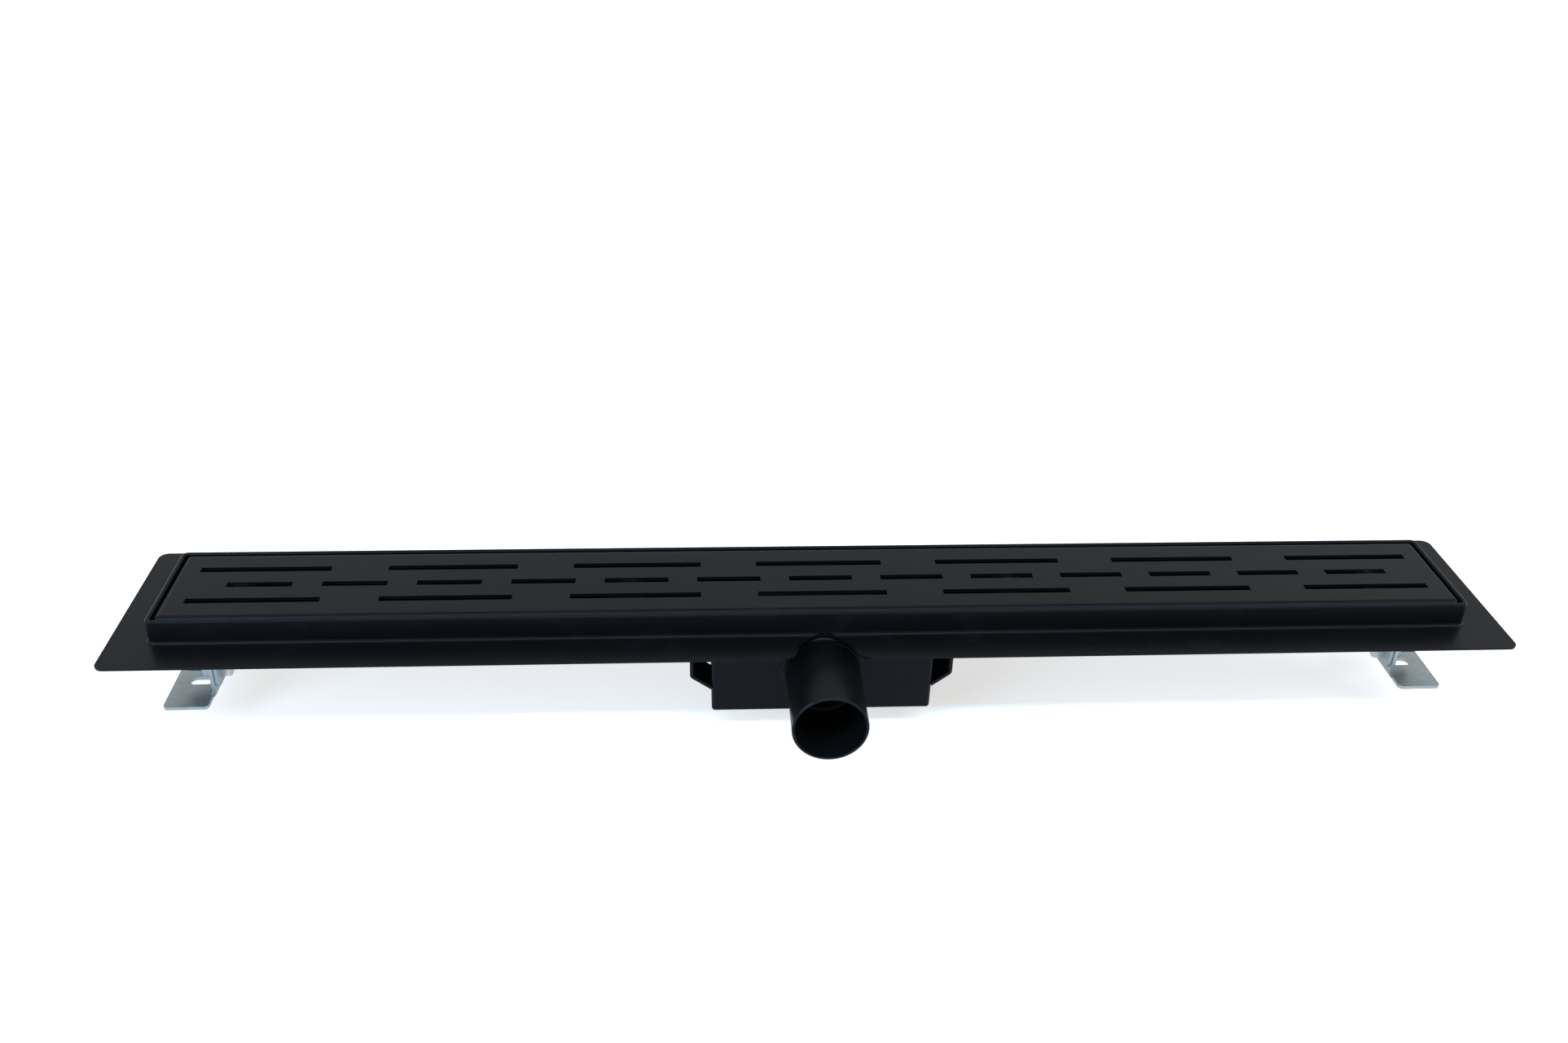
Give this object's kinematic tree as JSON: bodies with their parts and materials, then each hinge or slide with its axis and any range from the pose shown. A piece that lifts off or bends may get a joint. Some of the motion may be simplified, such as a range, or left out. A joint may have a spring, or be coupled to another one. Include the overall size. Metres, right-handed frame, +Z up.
{
  "type": "linear shower channel drain",
  "caption": "Long shower channel drain: black flanged trough with a slotted drop-in grate, central sump with trap and side outlet pipe, and sliding galvanised feet at both ends.",
  "frame": {"origin": "on the underside of the sump, below the middle of the grate", "axes": "+X along the channel, -Y out through the outlet pipe, +Z up out of the grate"},
  "size_m": [0.742, 0.1374, 0.065],
  "materials": {
    "black_coat": "satin black powder coat with a very fine grain",
    "galvanised": "bright galvanised sheet with a faint bluish sheen",
    "zinc_fastener": "zinc plated, semi bright",
    "black_plastic": "moulded polypropylene, matt black",
    "seal_rubber": "matt black rubber"
  },
  "bodies": {
    "channel": {"channel_left": "black_coat", "channel_right": "black_coat", "channel_front": "black_coat", "channel_back": "black_coat", "grate_skirt_front": "black_coat", "grate_skirt_back": "black_coat", "grate_skirt_left": "black_coat", "grate_skirt_right": "black_coat", "sump_box": "black_coat", "outlet_pipe": "black_coat", "brace_left": "black_coat", "brace_right": "black_coat", "grate": "black_coat", "trap_body": "black_plastic", "trap_cap": "black_plastic", "trap_seal": "seal_rubber", "hair_strainer": "black_coat", "strainer_handle": "black_coat", "grate_bridge_1": "black_coat", "bridge_spacer_1": "zinc_fastener", "bridge_screw_1": "zinc_fastener", "grate_bridge_2": "black_coat", "bridge_spacer_2": "zinc_fastener", "bridge_screw_2": "zinc_fastener", "grate_bridge_3": "black_coat", "bridge_spacer_3": "zinc_fastener", "bridge_screw_3": "zinc_fastener", "grate_bridge_4": "black_coat", "bridge_spacer_4": "zinc_fastener", "bridge_screw_4": "zinc_fastener", "bracket_left": "galvanised", "bracket_stud_left": "zinc_fastener", "bracket_nut_left": "zinc_fastener", "bolt_left": "zinc_fastener", "washer_left": "zinc_fastener", "nut_left": "zinc_fastener", "bracket_right": "galvanised", "bracket_stud_right": "zinc_fastener", "bracket_nut_right": "zinc_fastener", "bolt_right": "zinc_fastener", "washer_right": "zinc_fastener", "nut_right": "zinc_fastener"},
    "foot_left": {"foot_left": "galvanised"},
    "foot_right": {"foot_right": "galvanised"}
  },
  "joints": [
    {"name": "foot_left_height", "type": "slide", "parent": "channel", "child": "foot_left", "axis": [0, 0, 1], "range_m": [-0.015, 0]},
    {"name": "foot_right_height", "type": "slide", "parent": "channel", "child": "foot_right", "axis": [0, 0, 1], "range_m": [-0.015, 0]}
  ]
}
